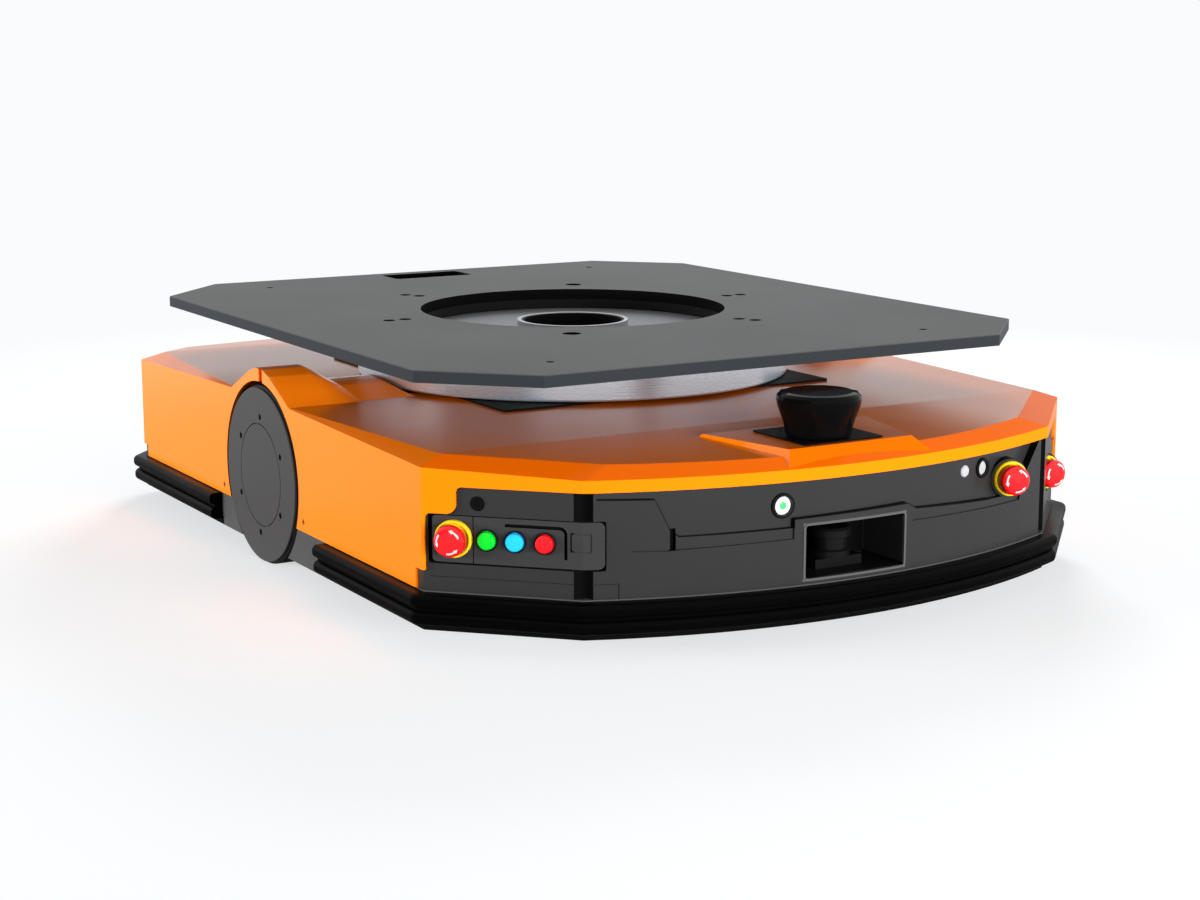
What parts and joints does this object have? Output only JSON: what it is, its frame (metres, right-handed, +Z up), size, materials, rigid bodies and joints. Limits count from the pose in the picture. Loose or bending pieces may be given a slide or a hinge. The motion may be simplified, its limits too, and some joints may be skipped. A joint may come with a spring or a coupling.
{
  "type": "lifting mobile robot",
  "caption": "Low self-driving transport robot with a lifting turntable load plate, side drive wheels, bumpers, sensors and a front control panel.",
  "frame": {"origin": "on the floor, midway between the two drive wheels and under the turntable axis", "axes": "+Z up along the turntable axis; -Y is the robot's front, with its control panel and scanner; +X is along the drive wheel axle"},
  "size_m": [1.054, 1.3849, 0.335],
  "materials": {
    "orange_paint": "gloss",
    "grey_moulding": "satin",
    "panel_black": "satin",
    "plate_black": "satin",
    "frame_black": "matte",
    "bumper_rubber": "matte",
    "ground_steel": "machined",
    "lift_aluminium": "machined",
    "dark_glass": "gloss",
    "lidar_black": "matte",
    "screw_steel": "oxidised",
    "post_steel": "ground",
    "tyre_rubber": "matte",
    "wheel_black": "satin",
    "drive_metal": "painted",
    "caster_zinc": "plated",
    "caster_tread": "matte",
    "estop_yellow": "satin",
    "estop_red": "gloss",
    "button_green": "gloss",
    "button_blue": "gloss",
    "button_red": "gloss",
    "power_white": "gloss",
    "start_grey": "gloss",
    "lamp_lens": "gloss",
    "box_plastic": "matte",
    "contact_brass": "polished"
  },
  "bodies": {
    "base": {"base_plate": "frame_black", "battery_pack": "box_plastic", "bumper_front": "bumper_rubber", "bumper_rear": "bumper_rubber", "button_bezels": "panel_black", "caster_bays_front": "frame_black", "caster_bays_rear": "frame_black", "charge_block": "box_plastic", "charge_contacts": "contact_brass", "chassis_floor": "frame_black", "chassis_frame": "frame_black", "control_panel": "panel_black", "controller_box": "box_plastic", "drive_unit_left": "drive_metal", "drive_unit_right": "drive_metal", "estop_collars": "estop_yellow", "fascia_front": "grey_moulding", "fascia_rear": "grey_moulding", "hood_front": "orange_paint", "hood_rear": "orange_paint", "hood_screws": "screw_steel", "lidar_dome": "dark_glass", "lidar_plate": "lidar_black", "lift_jack": "post_steel", "lift_posts": "post_steel", "round_port": "panel_black", "scanner_base": "frame_black", "scanner_head": "dark_glass", "status_lamp": "lamp_lens"},
    "lift": {"lift_table": "lift_aluminium", "camera_boss": "lift_aluminium", "camera_window": "dark_glass"},
    "turntable": {"load_plate": "plate_black", "slewing_ring": "ground_steel", "plate_screws": "screw_steel", "turntable_skirt": "ground_steel"},
    "wheel_left": {"tyre_left": "tyre_rubber", "wheel_hub_left": "wheel_black", "wheel_cover_left": "wheel_black", "cover_screws_left": "screw_steel"},
    "wheel_right": {"tyre_right": "tyre_rubber", "wheel_hub_right": "wheel_black", "wheel_cover_right": "wheel_black", "cover_screws_right": "screw_steel"},
    "caster_front_left": {"caster_fork_front_left": "caster_zinc"},
    "roller_front_left": {"caster_wheel_front_left": "caster_tread"},
    "caster_front_right": {"caster_fork_front_right": "caster_zinc"},
    "roller_front_right": {"caster_wheel_front_right": "caster_tread"},
    "caster_rear_left": {"caster_fork_rear_left": "caster_zinc"},
    "roller_rear_left": {"caster_wheel_rear_left": "caster_tread"},
    "caster_rear_right": {"caster_fork_rear_right": "caster_zinc"},
    "roller_rear_right": {"caster_wheel_rear_right": "caster_tread"},
    "estop_head_left": {"estop_head_left": "estop_red"},
    "estop_head_front": {"estop_head_front": "estop_red"},
    "estop_head_right": {"estop_head_right": "estop_red"},
    "button_green": {"button_green": "button_green"},
    "button_blue": {"button_blue": "button_blue"},
    "button_red": {"button_red": "button_red"},
    "power_button": {"power_button": "power_white"},
    "start_button": {"start_button": "start_grey"}
  },
  "joints": [
    {"name": "lift_slide", "type": "slide", "parent": "base", "child": "lift", "axis": [0, 0, 1], "range_m": [0, 0.06]},
    {"name": "table_spin", "type": "hinge", "parent": "lift", "child": "turntable", "pos_m": [0, 0, 0.305], "axis": [0, 0, 1], "continuous": true},
    {"name": "wheel_spin_left", "type": "hinge", "parent": "base", "child": "wheel_left", "pos_m": [-0.482, 0, 0.128], "axis": [1, 0, 0], "continuous": true},
    {"name": "wheel_spin_right", "type": "hinge", "parent": "base", "child": "wheel_right", "pos_m": [0.482, 0, 0.128], "axis": [1, 0, 0], "continuous": true},
    {"name": "caster_swivel_front_left", "type": "hinge", "parent": "base", "child": "caster_front_left", "pos_m": [-0.34, -0.48, 0.11], "axis": [0, 0, 1], "continuous": true},
    {"name": "caster_roll_front_left", "type": "hinge", "parent": "caster_front_left", "child": "roller_front_left", "pos_m": [-0.34, -0.448, 0.04], "axis": [1, 0, 0], "continuous": true},
    {"name": "caster_swivel_front_right", "type": "hinge", "parent": "base", "child": "caster_front_right", "pos_m": [0.34, -0.48, 0.11], "axis": [0, 0, 1], "continuous": true},
    {"name": "caster_roll_front_right", "type": "hinge", "parent": "caster_front_right", "child": "roller_front_right", "pos_m": [0.34, -0.448, 0.04], "axis": [1, 0, 0], "continuous": true},
    {"name": "caster_swivel_rear_left", "type": "hinge", "parent": "base", "child": "caster_rear_left", "pos_m": [-0.34, 0.4, 0.11], "axis": [0, 0, 1], "continuous": true},
    {"name": "caster_roll_rear_left", "type": "hinge", "parent": "caster_rear_left", "child": "roller_rear_left", "pos_m": [-0.34, 0.432, 0.04], "axis": [1, 0, 0], "continuous": true},
    {"name": "caster_swivel_rear_right", "type": "hinge", "parent": "base", "child": "caster_rear_right", "pos_m": [0.34, 0.4, 0.11], "axis": [0, 0, 1], "continuous": true},
    {"name": "caster_roll_rear_right", "type": "hinge", "parent": "caster_rear_right", "child": "roller_rear_right", "pos_m": [0.34, 0.432, 0.04], "axis": [1, 0, 0], "continuous": true},
    {"name": "estop_press_left", "type": "slide", "parent": "base", "child": "estop_head_left", "axis": [0.7047, 0.7095, 0], "range_m": [0, 0.004], "stiffness_N_per_m": 1500, "springref_m": -0.001},
    {"name": "estop_press_front", "type": "slide", "parent": "base", "child": "estop_head_front", "axis": [0.2588, 0.9659, 0], "range_m": [0, 0.004], "stiffness_N_per_m": 1500, "springref_m": -0.001},
    {"name": "estop_press_right", "type": "slide", "parent": "base", "child": "estop_head_right", "axis": [0, 1, 0], "range_m": [0, 0.004], "stiffness_N_per_m": 1500, "springref_m": -0.001},
    {"name": "button_press_green", "type": "slide", "parent": "base", "child": "button_green", "axis": [0.7047, 0.7095, 0], "range_m": [0, 0.003], "stiffness_N_per_m": 600, "springref_m": -0.001},
    {"name": "button_press_blue", "type": "slide", "parent": "base", "child": "button_blue", "axis": [0.7047, 0.7095, 0], "range_m": [0, 0.003], "stiffness_N_per_m": 600, "springref_m": -0.001},
    {"name": "button_press_red", "type": "slide", "parent": "base", "child": "button_red", "axis": [0.7047, 0.7095, 0], "range_m": [0, 0.003], "stiffness_N_per_m": 600, "springref_m": -0.001},
    {"name": "power_press", "type": "slide", "parent": "base", "child": "power_button", "axis": [0.112, 0.9937, 0], "range_m": [0, 0.0025], "stiffness_N_per_m": 600, "springref_m": -0.001},
    {"name": "start_press", "type": "slide", "parent": "base", "child": "start_button", "axis": [-0.2588, 0.9659, 0], "range_m": [0, 0.0025], "stiffness_N_per_m": 600, "springref_m": -0.001}
  ]
}
